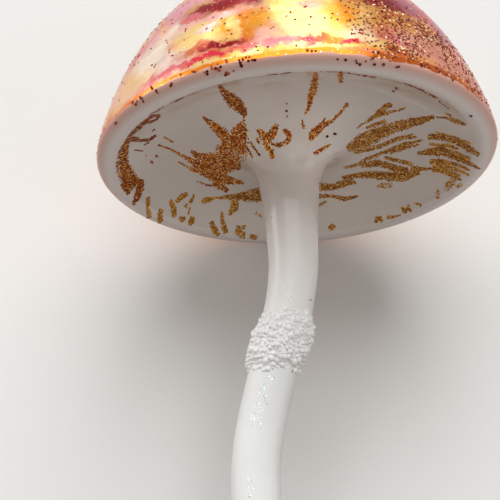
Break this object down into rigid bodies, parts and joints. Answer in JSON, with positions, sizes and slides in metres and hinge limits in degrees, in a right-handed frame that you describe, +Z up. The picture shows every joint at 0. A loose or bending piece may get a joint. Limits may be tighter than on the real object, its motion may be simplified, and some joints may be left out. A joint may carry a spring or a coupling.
{
  "type": "clip-on mushroom ornament",
  "caption": "Blown-glass mushroom ornament with a domed lustre cap, glittered gill recess, bent white stem and crumb collar, held upright on a twig by a sprung metal clip.",
  "frame": {"origin": "middle of the flat seat under the clip's upper jaw, where the twig lies", "axes": "+Z up along the cap's axis, +X out of the clip's jaws, Y along the clip's pivot"},
  "size_m": [0.072, 0.072, 0.1332],
  "materials": {
    "lustre_glass": "glossy orange, gold and crimson lustre over blown glass",
    "white_glass": "glossy opal white",
    "glass_crumbs": "rough white glass crumbs",
    "plaster": "matt plaster cement",
    "tinned_steel": "bright tinned sheet steel",
    "spring_steel": "drawn spring wire",
    "copper_glitter": "copper-gold glitter flakes",
    "pearl_glitter": "fine iridescent white glitter flakes"
  },
  "bodies": {
    "ornament": {"cap_shell": "lustre_glass", "gill_dish": "white_glass", "stem_tube": "white_glass", "crumb_collar": "glass_crumbs", "neck_cement": "plaster", "ferrule": "tinned_steel", "ferrule_rivet": "tinned_steel", "clip_upper_lever": "tinned_steel", "pivot_pin": "tinned_steel", "torsion_spring": "spring_steel"},
    "lower_jaw": {"clip_lower_lever": "tinned_steel"}
  },
  "joints": [
    {"name": "clip_squeeze", "type": "hinge", "parent": "ornament", "child": "lower_jaw", "pos_m": [-0.0132, 0, -0.00105], "axis": [0, 1, 0], "range_deg": [0, 40], "stiffness_Nm_per_rad": 0.04, "springref_deg": -68.75, "deforming": ["torsion_spring"]}
  ]
}
